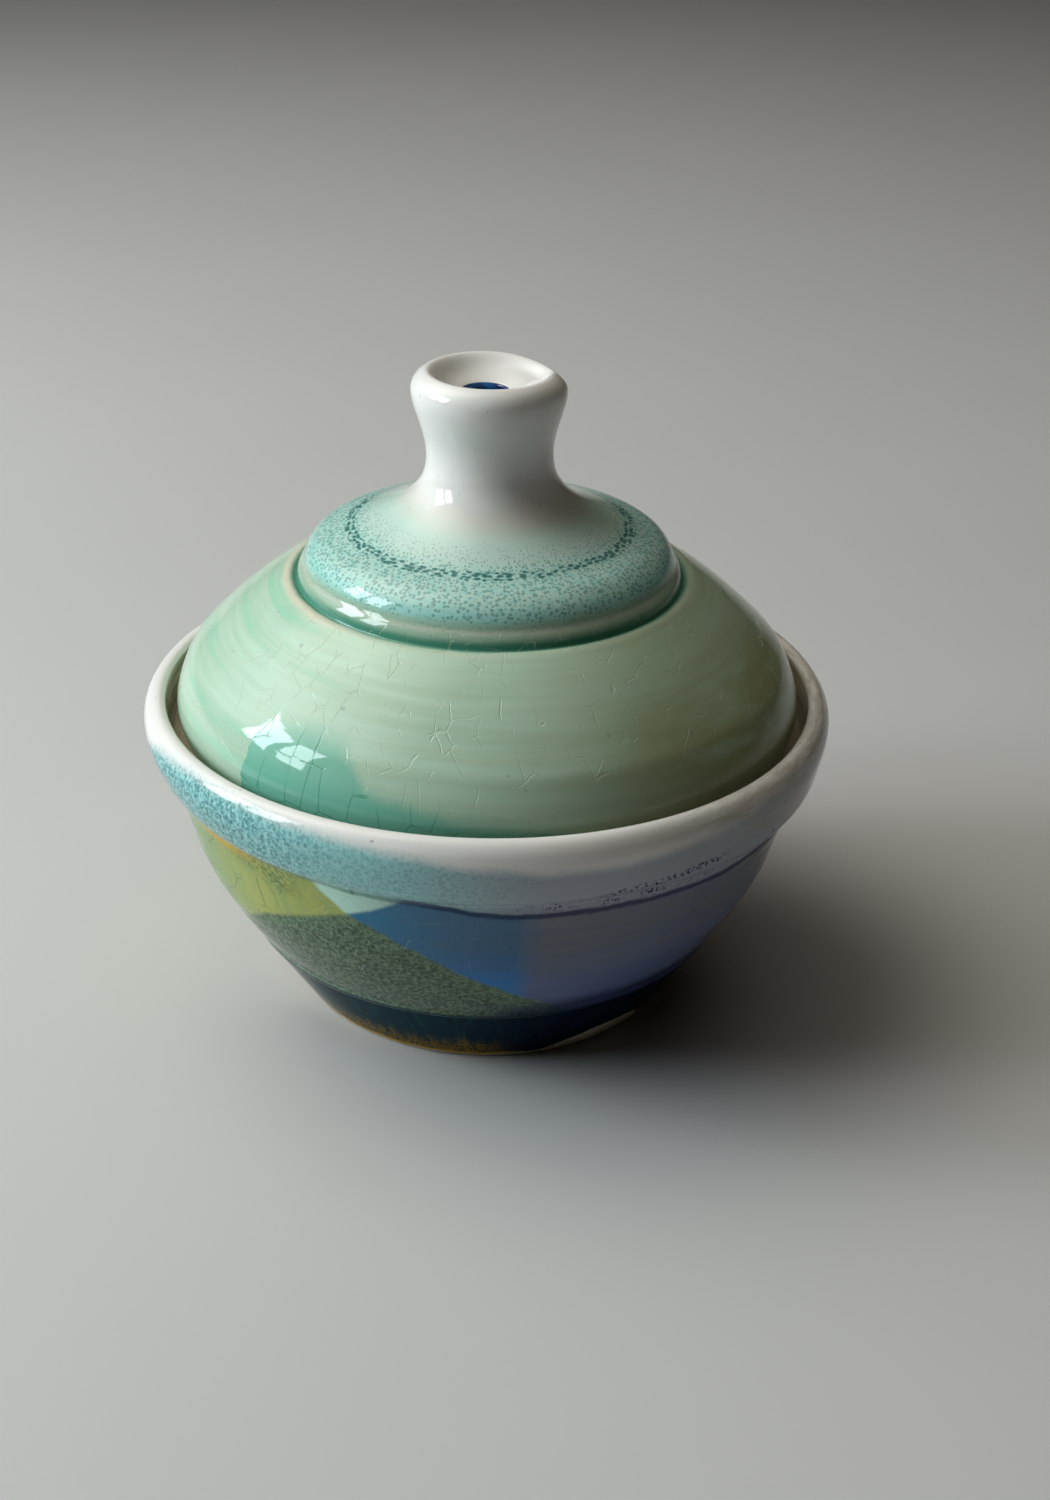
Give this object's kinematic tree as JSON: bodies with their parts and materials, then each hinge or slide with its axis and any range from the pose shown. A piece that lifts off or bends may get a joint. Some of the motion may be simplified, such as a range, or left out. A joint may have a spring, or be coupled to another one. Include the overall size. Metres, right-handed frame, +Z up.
{
  "type": "yarn bowl",
  "caption": "Round glazed ceramic bowl with a domed lift-off lid; yarn runs out through a hollow knob on top.",
  "frame": {"origin": "on the table, under the middle of the foot ring", "axes": "+Z up along the throwing axis that both pieces share; +X towards the viewer's right, with -Y towards the viewer"},
  "size_m": [0.16, 0.16, 0.15],
  "materials": {
    "bowl_glaze": "glossy glaze with fine crackle, teal, blue and green dips over white",
    "lid_glaze": "glossy celadon glaze with fine crackle, white on the knob"
  },
  "bodies": {
    "bowl": {"bowl": "bowl_glaze"},
    "lid": {"lid": "lid_glaze"}
  },
  "joints": [
    {"name": "lid_lift", "type": "slide", "parent": "bowl", "child": "lid", "axis": [0, 0, 1], "range_m": [0, 0.12]}
  ]
}
